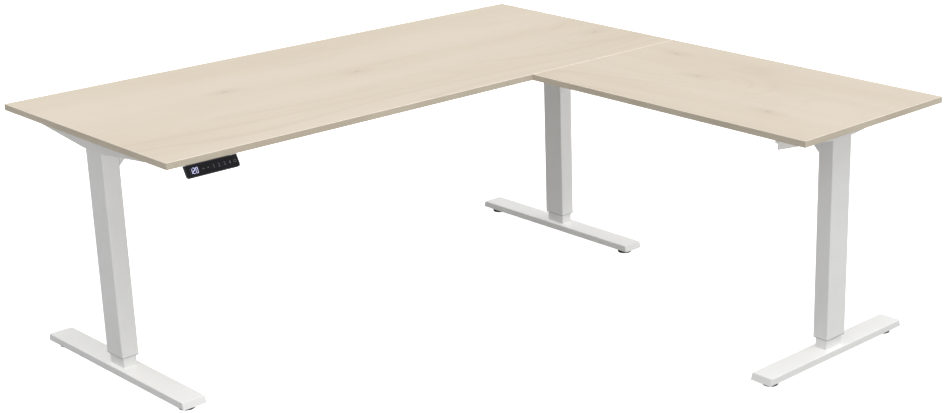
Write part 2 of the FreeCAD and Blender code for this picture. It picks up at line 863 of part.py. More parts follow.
def handset_housing():
    """The handset's sloping face plate and the shallow body behind it, under the front edge."""
    back = face_out * -handset_plate
    top_back = face_top + V * (handset_plate / -face_out.y)
    plate = profile([face_top, face_low, face_low + back, top_back], U * handset_length)
    plate = plate.common(face_slab(0.0, -2 * handset_back, handset_back, handset_corner))
    body_start = U * handset_body_inset
    body_z = under - handset_back_drop
    outline = [
        face_top + back / 2,
        face_top + face_down * (face_height * handset_body_share) + back / 2,
        Vector(handset_x0, front_y + handset_shoulder, body_z),
        Vector(handset_x0, front_y + handset_back, body_z),
        Vector(handset_x0, front_y + handset_back, under),
        Vector(handset_x0, face_top.y + handset_plate, under),
    ]
    body = profile([point + body_start for point in outline],
                   U * (handset_length - 2 * handset_body_inset))
    wedge = plate.fuse(body).removeSplitter()
    rebate = face_slab(panel_margin, -panel_sheet, over, panel_corner)
    pocket = face_slab(panel_margin + handset_wall, -panel_sheet - panel_pocket_depth, 0.0,
                       panel_corner - handset_wall)
    holes = []
    for x, y in handset_screw_places():
        holes.append(rod(screw_hole_radius, Vector(x, y, under - handset_drop), Z, handset_drop))
        seat = under - handset_wall * 2
        holes.append(rod(access_radius, Vector(x, y, seat - handset_drop), Z, handset_drop))
    return cut_all(wedge, [rebate, pocket] + holes)


def handset_screw_places():
    """X and Y of the two screws that hold the handset."""
    y = front_y + handset_back - handset_screw_from_back
    return [(x, y) for x in (handset_x0 + handset_screw_from_end, handset_x1 - handset_screw_from_end)]


def handset_panel():
    """The glossy touch panel let into the sloping face."""
    return face_slab(panel_margin, -panel_sheet, 0.0, panel_corner)


# ---- Assembly ---------------------------------------------------------------------------------

nodes = {}


def add(name, shapes):
    """Keep a node: one solid, or a group of separate solids."""
    nodes[name] = shapes if isinstance(shapes, list) else [shapes]


def seam_plate_centres():
    """X and Y of the two plates under the seam between the tops."""
    y = (front_y + return_back_y) / 2
    inset = seam_plate_from_end + seam_plate_width / 2
    return [(return_left_x + inset, y), (right_x - inset, y)]


def seam_screw_places(x, y):
    """The four screws of one seam plate."""
    du = seam_plate_width / 2 - seam_screw_from_side
    dv = seam_plate_length / 2 - seam_screw_from_end
    return [(x + i * du, y + j * dv) for i in (-1, 1) for j in (-1, 1)]


def seam_plate(x, y):
    """One flat plate across the seam."""
    half_w = seam_plate_width / 2
    half_l = seam_plate_length / 2
    plate = block(x - half_w, x + half_w, y - half_l, y + half_l, under - seam_plate_sheet, under)
    holes = [rod(screw_hole_radius, Vector(sx, sy, under - seam_plate_sheet), Z, seam_plate_sheet)
             for sx, sy in seam_screw_places(x, y)]
    return cut_all(plate, holes)


for leg, (_, _, _, foot_length) in LEGS.items():
    add(leg + "_outer_tube", at_leg(outer_tube(), leg))
    add(leg + "_gearbox", at_leg(gearbox(), leg))
    add(leg + "_motor", at_leg(motor(), leg))
    add(leg + "_motor_housing", at_leg(motor_housing(), leg))
    add(leg + "_side_bracket", at_leg(side_bracket(), leg))
    add(leg + "_worm", at_leg(worm(), leg))
    add(leg + "_spindle", [at_leg(s, leg) for s in spindle()])
    add(leg + "_inner_tube", [at_leg(s, leg) for s in inner_tube()])
    add(leg + "_push_tube", [at_leg(s, leg) for s in push_tube()])
    add(leg + "_foot_beam", at_leg(foot_beam(foot_length), leg))
    add(leg + "_foot_bolts", [at_leg(s, leg) for s in foot_bolts()])
    for end, side in (("a", -1), ("b", 1)):
        v = side * (foot_length / 2 - glide_from_end)
        add(leg + "_glide_" + end, at_leg(glide(v), leg))

add("guide_rings", [at_leg(guide_ring(), leg) for leg in LEGS])

main_end = rail_start + main_rail_length
first_screw = housing_end + rail_screw_from_housing
main_last_screw = main_end - rail_overlap - rail_screw_from_insert
main_screws = [first_screw, (first_screw + main_last_screw) / 2, main_last_screw]
main_clamps = clamp_places(main_end, -1)
add("main_rail_left",
    [at_leg(s, "left") for s in rail_tube(rail_start, main_end, main_screws, main_clamps,
                                          rail_bolt_places())])
add("main_rail_right",
    [at_leg(s, "corner") for s in rail_tube(rail_start, main_end, main_screws, main_clamps,
                                            rail_bolt_places())])
main_span = LEGS["corner"][0] - LEGS["left"][0]
add("main_rail_insert",
    [at_leg(s, "left") for s in rail_insert(main_end - rail_overlap, main_span - main_end + rail_overlap)])

front_end = rail_start + return_rail_front_length
rear_start = return_rail_end - return_rail_rear_length
front_screws = [first_screw, front_end - rail_overlap - rail_screw_from_insert]
rear_screws = [rear_start + rail_overlap + rail_screw_from_insert,
               return_rail_end - joint_reach - rail_screw_from_housing]
front_clamps = clamp_places(front_end, -1)
rear_clamps = clamp_places(rear_start, 1)
add("return_rail_front",
    [at_leg(s, "return") for s in rail_tube(rail_start, front_end, front_screws, front_clamps,
                                            rail_bolt_places())])
add("return_rail_rear",
    [at_leg(s, "return") for s in rail_tube(rear_start, return_rail_end, rear_screws, rear_clamps,
                                            joint_bolt_places())])
add("return_rail_insert",
    [at_leg(s, "return") for s in rail_insert(front_end - rail_overlap, rear_start + rail_overlap)])
add("rail_joint_bracket", at_leg(joint_bracket(), "return"))

# The main rail is drilled where the joint bracket's bolts enter it.
joint_drills = [at_leg(rod(bolt_radius, Vector(joint_face - over, v, z), U,
                         rail_wall + 2 * over), "return")
                for v, z in joint_plate_places()]
nodes["main_rail_right"] = [tube.cut(joint_drills) for tube in nodes["main_rail_right"]]

bolts = [at_leg(b, leg) for leg in LEGS for b in head_bolts()]
bolts += [at_leg(b, "return") for b in joint_bolts()]
add("frame_bolts", bolts)
add("rail_clamp_screws",
    [at_leg(s, leg) for leg in ("left", "corner") for s in clamp_screws(main_clamps)]
    + [at_leg(s, "return") for s in clamp_screws(front_clamps + rear_clamps)])

seam_centres = seam_plate_centres()
add("seam_plates", [seam_plate(x, y) for x, y in seam_centres])

wood_screws = []
for x, y in seam_centres:
    wood_screws += [wood_screw(sx, sy, under - seam_plate_sheet) for sx, sy in seam_screw_places(x, y)]
for leg in LEGS:
    for v in bracket_screw_places():
        wood_screws.append(wood_screw(*row_point(leg, 0, v), head_top))
rail_screw_places = [("left", u) for u in main_screws] + [("corner", u) for u in main_screws]
rail_screw_places += [("return", u) for u in front_screws + rear_screws]
for leg, u in rail_screw_places:
    for v in (-rail_v, rail_v):
        wood_screws.append(wood_screw(*row_point(leg, u, v), under - rail_wall))
for x, y in box_screw_places():
    wood_screws.append(wood_screw(x, y, box_z1))
for x, y in handset_screw_places():
    wood_screws.append(wood_screw(x, y, under - 2 * handset_wall))
add("wood_screws", wood_screws)

add("main_desktop", core_board(left_x, right_x, front_y, back_y))
add("main_edge_band", edge_strips(left_x, right_x, front_y, back_y))
add("return_desktop", core_board(return_left_x, right_x, return_front_y, return_back_y))
add("return_edge_band", edge_strips(return_left_x, right_x, return_front_y, return_back_y))
add("control_box_base", control_base())
add("control_box_cover", control_cover())
add("control_box_sockets", sockets())
add("handset_housing", handset_housing())
add("handset_panel", handset_panel())

os.makedirs("parts", exist_ok=True)
for name, solids in nodes.items():
    shape = solids[0] if len(solids) == 1 else Part.makeCompound(solids)
    shape.exportStep("parts/" + name + ".step")
    print(name, len(shape.Solids), "solids", round(shape.Volume / 1000.0, 1), "cm3",
          "valid" if shape.isValid() else "NOT VALID")
print(len(nodes), "nodes")
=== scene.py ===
import json
import math

import bmesh
import bpy
from mathutils import Matrix, Vector


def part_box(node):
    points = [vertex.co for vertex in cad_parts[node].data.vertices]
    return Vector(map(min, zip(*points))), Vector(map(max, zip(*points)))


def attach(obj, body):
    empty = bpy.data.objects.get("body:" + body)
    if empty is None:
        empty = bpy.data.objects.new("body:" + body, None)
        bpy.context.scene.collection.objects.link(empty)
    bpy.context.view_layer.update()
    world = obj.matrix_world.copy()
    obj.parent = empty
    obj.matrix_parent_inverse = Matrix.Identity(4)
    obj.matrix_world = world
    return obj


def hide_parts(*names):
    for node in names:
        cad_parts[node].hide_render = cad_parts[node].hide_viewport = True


# A height adjustable corner desk: finishes for every part of the frame, and the fine pieces that
# the frame only stands in for: touch handset, levelling glides, screws, bolts and box fittings.
# Lengths are in metres; MM turns millimetres into metres.

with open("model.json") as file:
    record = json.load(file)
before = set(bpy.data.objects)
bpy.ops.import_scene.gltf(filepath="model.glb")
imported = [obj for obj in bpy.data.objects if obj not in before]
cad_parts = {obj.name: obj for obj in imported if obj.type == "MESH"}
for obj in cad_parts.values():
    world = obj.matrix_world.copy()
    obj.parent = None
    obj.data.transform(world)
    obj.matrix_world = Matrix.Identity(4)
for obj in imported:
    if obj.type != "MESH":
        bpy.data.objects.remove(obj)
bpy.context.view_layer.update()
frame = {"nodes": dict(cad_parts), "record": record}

MM = 0.001
LEGS = ("left", "corner", "return")
X = Vector((1, 0, 0))
Z = Vector((0, 0, 1))


# ---- Camera, light and floor ------------------------------------------------------------------

def make_camera():
    """A long lens, standing above the near left corner of the desk."""
    data = bpy.data.cameras.new("camera")
    data.sensor_width = 36.0
    data.lens = 66.33
    data.shift_x = -0.1956
    data.shift_y = -0.0091
    data.clip_start = 0.05
    data.clip_end = 200.0
    camera = bpy.data.objects.new("camera", data)
    bpy.context.scene.collection.objects.link(camera)
    camera.location = (-3.0061, -3.4970, 1.9441)
    looks_along = Vector((0.6924, 0.6503, -0.3127))
    camera.rotation_mode = "QUATERNION"
    camera.rotation_quaternion = looks_along.to_track_quat("-Z", "Y")
    bpy.context.scene.camera = camera


def make_lights():
    """Broad soft lights, each with its energy, spread in degrees, direction and whether it casts."""
    for name, energy, spread, comes_from, casts in (
        ("softbox", 0.65, 45.0, (0.12, -0.4, 0.9), True),
        ("fill", 1.6, 10.0, (0.05, -0.48, 0.88), False),
        ("side", 0.52, 45.0, (-0.93, -0.25, 0.27), True),
    ):
        data = bpy.data.lights.new(name, "SUN")
        data.energy = energy
        data.angle = math.radians(spread)
        data.color = (1.0, 0.985, 0.965)
        data.use_shadow = casts
        light = bpy.data.objects.new(name, data)
        bpy.context.scene.collection.objects.link(light)
        light.rotation_mode = "QUATERNION"
        light.rotation_quaternion = Vector(comes_from).to_track_quat("Z", "Y")


def make_studio():
    """White surroundings that light the desk less than they look, and a white floor."""
    bpy.context.scene.view_settings.view_transform = "Standard"
    world = bpy.data.worlds.new("studio")
    bpy.context.scene.world = world
    world.use_nodes = True
    tree = world.node_tree
    tree.nodes.clear()
    seen = node(tree, "Background", {"Color": (1.0, 1.0, 1.0, 1.0), "Strength": 1.0})
    towards = node(tree, "SeparateXYZ", {0: node(tree, "TexCoord").outputs["Generated"]})
    overhead = ease(tree, towards.outputs[2], 0.0, 0.85, 0.24, 0.58)
    front = ease(tree, towards.outputs[1], 0.1, -0.9, 0.0, 0.12)
    lights = node(tree, "Background", {"Color": (0.96, 0.98, 1.0, 1.0),
                                       "Strength": maths(tree, "ADD", overhead, front)})
    path = node(tree, "LightPath")
    mixed = node(tree, "MixShader", {0: path.outputs["Is Camera Ray"], 1: lights.outputs[0],
                                     2: seen.outputs[0]})
    out = tree.nodes.new("ShaderNodeOutputWorld")
    tree.links.new(mixed.outputs[0], out.inputs["Surface"])

    bm = bmesh.new()
    bmesh.ops.create_grid(bm, x_segments=1, y_segments=1, size=40.0)
    mesh = bpy.data.meshes.new("floor")
    bm.to_mesh(mesh)
    bm.free()
    floor = bpy.data.objects.new("floor", mesh)
    floor.location = (0, 0, -0.2 * MM)
    bpy.context.scene.collection.objects.link(floor)
    material, tree, out = new_material("floor_paint")
    path = node(tree, "LightPath")
    paint = node(tree, "BsdfDiffuse", {"Color": (0.93, 0.93, 0.93, 1.0)})
    glow = node(tree, "Emission", {"Color": (1.0, 1.0, 1.0, 1.0), "Strength": 0.6})
    seen = node(tree, "AddShader", {0: paint.outputs[0], 1: glow.outputs[0]})
    bounce = node(tree, "BsdfDiffuse", {"Color": (0.4, 0.4, 0.4, 1.0)})
    mixed = node(tree, "MixShader", {0: path.outputs["Is Camera Ray"], 1: bounce.outputs[0],
                                     2: seen.outputs[0]})
    tree.links.new(mixed.outputs[0], out.inputs["Surface"])
    mesh.materials.append(material)


# ---- Wiring helpers ---------------------------------------------------------------------------

def node(tree, kind, inputs=(), **settings):
    """Adds a shader node. An input given as a socket is linked; any other value is set."""
    made = tree.nodes.new("ShaderNode" + kind)
    for name, value in settings.items():
        setattr(made, name, value)
    for key, value in dict(inputs).items():
        if isinstance(value, bpy.types.NodeSocket):
            tree.links.new(value, made.inputs[key])
        else:
            made.inputs[key].default_value = value
    return made


def maths(tree, operation, first, second=0.5):
    """One sum; returns its result."""
    return node(tree, "Math", {0: first, 1: second}, operation=operation).outputs[0]


def ease(tree, value, low, high, to_low=0.0, to_high=1.0):
    """A smooth step of a value from one range to another."""
    inputs = {"Value": value, "From Min": low, "From Max": high, "To Min": to_low, "To Max": to_high}
    return node(tree, "MapRange", inputs, interpolation_type="SMOOTHSTEP").outputs["Result"]


def scale_to(tree, value, to_low, to_high):
    """A value from 0 to 1, set out between two ends."""
    return node(tree, "MapRange", {"Value": value, "To Min": to_low, "To Max": to_high}).outputs["Result"]


def blend(tree, factor, first, second, mode="MIX"):
    """Mixes two colours; returns the colour."""
    mixed = node(tree, "Mix", {0: factor, 6: first, 7: second}, data_type="RGBA", blend_type=mode)
    return mixed.outputs[2]


def stretched(tree, vector, scale, turn=0.0, place=(0.0, 0.0, 0.0)):
    """Coordinates moved, turned about Z and scaled along each axis."""
    turned = node(tree, "Mapping", {"Vector": vector, "Location": place, "Rotation": (0.0, 0.0, turn)})
    return node(tree, "Mapping", {"Vector": turned.outputs[0], "Scale": scale}).outputs[0]


def noise(tree, vector, scale=1.0, detail=2.0, rough=0.5, warp=0.0):
    """Cloudy noise from 0 to 1."""
    inputs = {"Vector": vector, "Scale": scale, "Detail": detail, "Roughness": rough, "Distortion": warp}
    return node(tree, "TexNoise", inputs).outputs[0]


def place_on(tree):
    """The piece's own coordinates, in metres."""
    return node(tree, "TexCoord").outputs["Object"]


def new_material(name):
    """An empty node material and its output node."""
    material = bpy.data.materials.new(name)
    material.use_nodes = True
    tree = material.node_tree
    tree.nodes.clear()
    return material, tree, tree.nodes.new("ShaderNodeOutputMaterial")


def principled(name):
    """A new material with its main shader."""
    material, tree, out = new_material(name)
    shader = node(tree, "BsdfPrincipled")
    tree.links.new(shader.outputs[0], out.inputs["Surface"])
    return material, tree, shader


def feed(tree, shader, **sockets):
    """Links values to the shader's inputs: base_color feeds Base Color, and so on."""
    for name, value in sockets.items():
        tree.links.new(value, shader.inputs[name.replace("_", " ").title()])


def bump(tree, height, distance, strength=1.0, normal=None):
    """A bumped normal from a height from 0 to 1, over a distance in metres."""
    inputs = {"Height": height, "Distance": distance, "Strength": strength}
    if normal is not None:
        inputs["Normal"] = normal
    return node(tree, "Bump", inputs).outputs[0]


def group(name, inputs, outputs, wire):
    """A shader node group. wire takes the tree and its inputs, and returns one socket per output."""
    tree = bpy.data.node_groups.new(name, "ShaderNodeTree")
    for label, kind, value in inputs:
        socket = tree.interface.new_socket(label, in_out="INPUT", socket_type="NodeSocket" + kind)
        if value is not None:
            socket.default_value = value
    for label, kind in outputs:
        tree.interface.new_socket(label, in_out="OUTPUT", socket_type="NodeSocket" + kind)
    start = tree.nodes.new("NodeGroupInput")
    end = tree.nodes.new("NodeGroupOutput")
    for (label, _), result in zip(outputs, wire(tree, start.outputs)):
        tree.links.new(result, end.inputs[label])
    return tree


def use(tree, shared, **inputs):
    """Places a shared group; its inputs are given by name, with _ for a space."""
    made = tree.nodes.new("ShaderNodeGroup")
    made.node_tree = shared
    for name, value in inputs.items():
        key = name.replace("_", " ").title()
        if isinstance(value, bpy.types.NodeSocket):
            tree.links.new(value, made.inputs[key])
        else:
            made.inputs[key].default_value = value
    return made.outputs


# ---- Shared effects ---------------------------------------------------------------------------

def wire_worn_edge(tree, given):
    """Where a sharp edge is, and a normal that rounds it."""
    rounded = node(tree, "Bevel", {"Radius": given["Radius"]}, samples=6).outputs[0]
    flat = node(tree, "NewGeometry").outputs["Normal"]
    apart = node(tree, "VectorMath", {0: rounded, 1: flat}, operation="DOT_PRODUCT").outputs["Value"]
    edge = ease(tree, apart, 0.995, 0.86)
    patchy = noise(tree, given["Vector"], 55.0, 4.0, 0.6)
    worn = maths(tree, "MULTIPLY", edge, ease(tree, patchy, 0.38, 0.62))
    return edge, worn, rounded


def wire_wood_figure(tree, given):
    """Plain-sawn figure with the grain along X: broad tone, growth lines, knots, fibres, pores."""
    spot = given["Vector"]
    broad = noise(tree, stretched(tree, spot, (0.32, 5.5, 1.0)), 1.0, 3.0, 0.55, 0.3)
    cloud = noise(tree, stretched(tree, spot, (1.1, 2.4, 1.0)), 1.0, 2.0, 0.5)

    ragged = noise(tree, stretched(tree, spot, (90.0, 160.0, 1.0)), 1.0, 2.0, 0.6)
    ragged = maths(tree, "MULTIPLY", ragged, 0.007)
    push = knot = None
    for label in ("Knot A", "Knot B", "Knot C"):
        away = node(tree, "VectorMath", {0: spot, 1: given[label]}, operation="SUBTRACT").outputs[0]
        flat = node(tree, "VectorMath", {0: away, 1: (0.42, 1.0, 0.0)}, operation="MULTIPLY").outputs[0]
        far = node(tree, "VectorMath", {0: flat}, operation="LENGTH").outputs["Value"]
        core = ease(tree, maths(tree, "ADD", far, ragged), 0.0105, 0.005)
        halo = ease(tree, maths(tree, "ADD", far, ragged), 0.042, 0.005, 0.0, 0.30)
        near = ease(tree, far, 0.13, 0.0)
        dark = maths(tree, "MAXIMUM", core, halo)
        push = near if push is None else maths(tree, "MAXIMUM", push, near)
        knot = dark if knot is None else maths(tree, "MAXIMUM", knot, dark)

    hill = noise(tree, stretched(tree, spot, (0.42, 2.7, 1.0)), 1.0, 1.2, 0.45, 0.15)
    hill = maths(tree, "ADD", hill, maths(tree, "MULTIPLY", push, 0.11))
    wobble = noise(tree, stretched(tree, spot, (5.0, 40.0, 1.0)), 1.0, 2.0, 0.5)
    hill = maths(tree, "ADD", hill, maths(tree, "MULTIPLY", wobble, 0.006))
    wave = maths(tree, "SINE", maths(tree, "MULTIPLY", hill, given["Rings"]))
    line = maths(tree, "POWER", maths(tree, "ADD", maths(tree, "MULTIPLY", wave, 0.5), 0.5), 11.0)
    faded = ease(tree, noise(tree, stretched(tree, spot, (0.9, 3.4, 1.0)), 1.0, 2.0, 0.5), 0.42, 0.66)
    line = maths(tree, "MULTIPLY", line, faded)

    fibre = noise(tree, stretched(tree, spot, (7.0, 520.0, 7.0)), 1.0, 3.0, 0.62)
    pore = ease(tree, noise(tree, stretched(tree, spot, (38.0, 950.0, 38.0)), 1.0, 1.0, 0.4), 0.66, 0.74)
    tone = maths(tree, "ADD", maths(tree, "MULTIPLY", broad, 0.62), maths(tree, "MULTIPLY", cloud, 0.38))
    return tone, line, knot, fibre, pore


def wire_orange_peel(tree, given):
    """The fine ripple of a baked powder coat, with a faint broad unevenness."""
    fine = noise(tree, given["Vector"], 620.0, 2.0, 0.45)
    broad = noise(tree, given["Vector"], 95.0, 2.0, 0.5)
    height = maths(tree, "ADD", maths(tree, "MULTIPLY", fine, 0.7), maths(tree, "MULTIPLY", broad, 0.3))
    return height, noise(tree, given["Vector"], 7.0, 3.0, 0.6)


def wire_handling(tree, given):
    """Smudges and a little dust: a soft patchy mask, and specks."""
    patches = noise(tree, given["Vector"], given["Scale"], 5.0, 0.62, 0.6)
    smudge = ease(tree, patches, 0.46, 0.68)
    speck = ease(tree, noise(tree, given["Vector"], 480.0, 1.0, 0.4), 0.70, 0.78)
    return smudge, speck


def wire_drawn_lines(tree, given):
    """Fine scratches or roll marks drawn out along the axis with the smallest stretch."""
    drawn = node(tree, "Mapping", {"Vector": given["Vector"], "Scale": given["Stretch"]}).outputs[0]
    fine = noise(tree, drawn, 1.0, 4.0, 0.7)
    return fine, ease(tree, noise(tree, drawn, 0.31, 2.0, 0.5), 0.35, 0.7)


def wire_moulded_grain(tree, given):
    """The spark-eroded texture of a moulded cover."""
    cells = node(tree, "TexVoronoi", {"Vector": given["Vector"], "Scale": given["Scale"]},
                 feature="SMOOTH_F1")
    grit = noise(tree, given["Vector"], 2600.0, 2.0, 0.6)
    height = maths(tree, "ADD", maths(tree, "MULTIPLY", cells.outputs["Distance"], 0.65),
                   maths(tree, "MULTIPLY", grit, 0.35))
    return height, noise(tree, given["Vector"], 14.0, 3.0, 0.6)


SPOT = ("Vector", "Vector", None)
WORN_EDGE = group("worn edge", [SPOT, ("Radius", "Float", 0.001)],
                  [("Edge", "Float"), ("Worn", "Float"), ("Normal", "Vector")], wire_worn_edge)
WOOD_FIGURE = group("wood figure",
                    [SPOT, ("Rings", "Float", 120.0)] + [("Knot " + k, "Vector", None) for k in "ABC"],
                    [("Tone", "Float"), ("Line", "Float"), ("Knot", "Float"), ("Fibre", "Float"),
                     ("Pore", "Float")], wire_wood_figure)
ORANGE_PEEL = group("orange peel", [SPOT], [("Height", "Float"), ("Shade", "Float")], wire_orange_peel)
HANDLING = group("handling", [SPOT, ("Scale", "Float", 9.0)], [("Smudge", "Float"), ("Speck", "Float")],
                 wire_handling)
DRAWN_LINES = group("drawn lines", [SPOT, ("Stretch", "Vector", (1.0, 1.0, 1.0))],
                    [("Fine", "Float"), ("Band", "Float")], wire_drawn_lines)
MOULDED_GRAIN = group("moulded grain", [SPOT, ("Scale", "Float", 1500.0)],
                      [("Height", "Float"), ("Shade", "Float")], wire_moulded_grain)


# ---- Finishes ---------------------------------------------------------------------------------

def rgb(red, green, blue):
    """A colour with full alpha."""
    return (red, green, blue, 1.0)


def desktop_decor(name, turn, place, knots):
    """Printed pale maple on melamine, its grain turned to run along the board."""
    material, tree, shader = principled(name)
    spot = place_on(tree)
    figure = use(tree, WOOD_FIGURE, vector=stretched(tree, spot, (1.0, 1.0, 1.0), turn, place), rings=150.0,
                 **{"knot_" + letter: Matrix.Rotation(turn, 3, "Z") @ Vector((*knot, 0.0)) + Vector(place)
                    for letter, knot in zip("abc", knots)})
    colour = blend(tree, ease(tree, figure["Tone"], 0.32, 0.68), rgb(0.669, 0.581, 0.471),
                   rgb(0.728, 0.651, 0.544))
    colour = blend(tree, scale_to(tree, figure["Fibre"], 0.0, 0.15), colour, rgb(0.52, 0.41, 0.30))
    colour = blend(tree, scale_to(tree, figure["Line"], 0.0, 0.13), colour, rgb(0.45, 0.34, 0.25))
    colour = blend(tree, scale_to(tree, figure["Pore"], 0.0, 0.18), colour, rgb(0.40, 0.30, 0.21))
    colour = blend(tree, scale_to(tree, figure["Knot"], 0.0, 0.42), colour, rgb(0.30, 0.21, 0.14))
    hand = use(tree, HANDLING, vector=spot, scale=6.0)
    rough = maths(tree, "ADD", scale_to(tree, figure["Fibre"], 0.44, 0.54),
                  scale_to(tree, hand["Smudge"], 0.0, -0.05))
    emboss = maths(tree, "ADD", maths(tree, "MULTIPLY", figure["Fibre"], 0.6),
                   maths(tree, "MULTIPLY", figure["Pore"], -0.5))
    feed(tree, shader, base_color=colour, roughness=rough, normal=bump(tree, emboss, 0.00006))
    shader.inputs["Specular IOR Level"].default_value = 0.35
    return material


def edge_decor():
    """ABS edging printed to match: streaks along each strip; a painted highlight makes its up-facing strip
    and rounded arris lighter than its sides, mixed with lighter rubbed wear on its edges.
    """
    material, tree, shader = principled("edge_decor")
    spot = place_on(tree)
    facing = node(tree, "SeparateXYZ", {0: node(tree, "NewGeometry").outputs["Normal"]})
    on_end = maths(tree, "GREATER_THAN", maths(tree, "ABSOLUTE", facing.outputs[0]), 0.7)
    along_x = noise(tree, stretched(tree, spot, (3.0, 60.0, 420.0)), 1.0, 3.0, 0.6)
    along_y = noise(tree, stretched(tree, spot, (60.0, 3.0, 420.0)), 1.0, 3.0, 0.6)
    streak = node(tree, "Mix", {0: on_end, 2: along_x, 3: along_y}, data_type="FLOAT").outputs[0]
    broad = noise(tree, spot, 4.5, 2.0, 0.5)
    colour = blend(tree, ease(tree, broad, 0.35, 0.65), rgb(0.60, 0.525, 0.415), rgb(0.66, 0.59, 0.475))
    colour = blend(tree, scale_to(tree, streak, 0.0, 0.28), colour, rgb(0.40, 0.32, 0.23))
    edge = use(tree, WORN_EDGE, vector=spot, radius=0.0008)
    # Painted highlight: faces of the band that look up get a lighter colour than its sides, standing in for
    # light falling on top.
    colour = blend(tree, ease(tree, facing.outputs[2], 0.90, 0.99), colour, rgb(0.710, 0.628, 0.519))
    # Painted highlight along the rounded arris, joined with a little lighter rubbed wear on the worn edges.
    painted_arris_highlight_and_wear = maths(tree, "MULTIPLY", ease(tree, facing.outputs[2], 0.15, 0.50),
                  ease(tree, facing.outputs[2], 0.99, 0.90))
    painted_arris_highlight_and_wear = maths(tree, "MAXIMUM", painted_arris_highlight_and_wear, maths(tree, "MULTIPLY", edge["Worn"], 0.25))
    colour = blend(tree, painted_arris_highlight_and_wear, colour, rgb(0.95, 0.87, 0.75))
    feed(tree, shader, base_color=colour, roughness=scale_to(tree, streak, 0.36, 0.50),
         normal=bump(tree, streak, 0.00004, 0.8, edge["Normal"]))
    return material


def powder_coat():
    """Satin white baked powder: orange peel, soft edges, a touch of dust and rubbed corners."""
    material, tree, shader = principled("powder_coat")
    spot = place_on(tree)
    peel = use(tree, ORANGE_PEEL, vector=spot)
    edge = use(tree, WORN_EDGE, vector=spot, radius=0.0012)
    hand = use(tree, HANDLING, vector=spot, scale=5.0)
    colour = blend(tree, peel["Shade"], rgb(0.815, 0.815, 0.805), rgb(0.865, 0.867, 0.862))
    colour = blend(tree, scale_to(tree, hand["Smudge"], 0.0, 0.10), colour, rgb(0.70, 0.69, 0.66))
    colour = blend(tree, scale_to(tree, hand["Speck"], 0.0, 0.10), colour, rgb(0.50, 0.48, 0.45))
    colour = blend(tree, scale_to(tree, edge["Worn"], 0.0, 0.22), colour, rgb(0.93, 0.93, 0.93))
    rough = maths(tree, "ADD", scale_to(tree, peel["Shade"], 0.36, 0.46),
                  scale_to(tree, hand["Smudge"], 0.0, 0.10))
    feed(tree, shader, base_color=colour, roughness=rough,
         normal=bump(tree, peel["Height"], 0.00009, 0.8, edge["Normal"]))
    return material


def plated_steel(name, dark, light, rough, stretch):
    """Zinc plate or bright steel: spangle, roll marks and rubbed edges."""
    material, tree, shader = principled(name)
    spot = place_on(tree)
    lines = use(tree, DRAWN_LINES, vector=spot, stretch=stretch)
    edge = use(tree, WORN_EDGE, vector=spot, radius=0.0006)
    spangle = node(tree, "TexVoronoi", {"Vector": spot, "Scale": 210.0})
    flake = node(tree, "SeparateColor", {"Color": spangle.outputs["Color"]}).outputs[0]
    tone = maths(tree, "ADD", maths(tree, "MULTIPLY", flake, 0.35),
                 maths(tree, "MULTIPLY", lines["Fine"], 0.65))
    colour = blend(tree, tone, dark, light)
    colour = blend(tree, scale_to(tree, edge["Worn"], 0.0, 0.5), colour, rgb(0.88, 0.88, 0.88))
    feed(tree, shader, base_color=colour, roughness=scale_to(tree, tone, rough - 0.09, rough + 0.12),
         normal=bump(tree, lines["Fine"], 0.00003, 0.6, edge["Normal"]))
    shader.inputs["Metallic"].default_value = 1.0
    return material


def cast_alloy():
    """Die-cast gearbox metal: dull, finely pitted, brighter on its edges."""
    material, tree, shader = principled("cast_alloy")
    spot = place_on(tree)
    skin = use(tree, MOULDED_GRAIN, vector=spot, scale=700.0)
    edge = use(tree, WORN_EDGE, vector=spot, radius=0.0008)
    colour = blend(tree, skin["Shade"], rgb(0.46, 0.465, 0.47), rgb(0.62, 0.625, 0.63))
    colour = blend(tree, scale_to(tree, edge["Worn"], 0.0, 0.5), colour, rgb(0.80, 0.80, 0.80))
    feed(tree, shader, base_color=colour, roughness=scale_to(tree, skin["Shade"], 0.46, 0.62),
         normal=bump(tree, skin["Height"], 0.00012, 0.7, edge["Normal"]))
    shader.inputs["Metallic"].default_value = 1.0
    return material


def moulded_plastic(name, dark, light, rough, grain, depth):
    """Moulded plastic: spark texture, shade drift, pale rubbed edges and handling marks."""
    material, tree, shader = principled(name)
    spot = place_on(tree)
    skin = use(tree, MOULDED_GRAIN, vector=spot, scale=grain)
    edge = use(tree, WORN_EDGE, vector=spot, radius=0.0006)
    hand = use(tree, HANDLING, vector=spot, scale=16.0)
    colour = blend(tree, skin["Shade"], dark, light)
    pale = rgb(*(min(1.0, c * 1.8 + 0.02) for c in light[:3]))
    colour = blend(tree, scale_to(tree, edge["Worn"], 0.0, 0.6), colour, pale)
    colour = blend(tree, scale_to(tree, hand["Speck"], 0.0, 0.25), colour, rgb(0.35, 0.34, 0.32))
    gloss = maths(tree, "ADD", scale_to(tree, skin["Height"], rough - 0.05, rough + 0.07),
                  scale_to(tree, hand["Smudge"], 0.0, -0.08))
    feed(tree, shader, base_color=colour, roughness=gloss,
         normal=bump(tree, skin["Height"], depth, 0.8, edge["Normal"]))
    return material


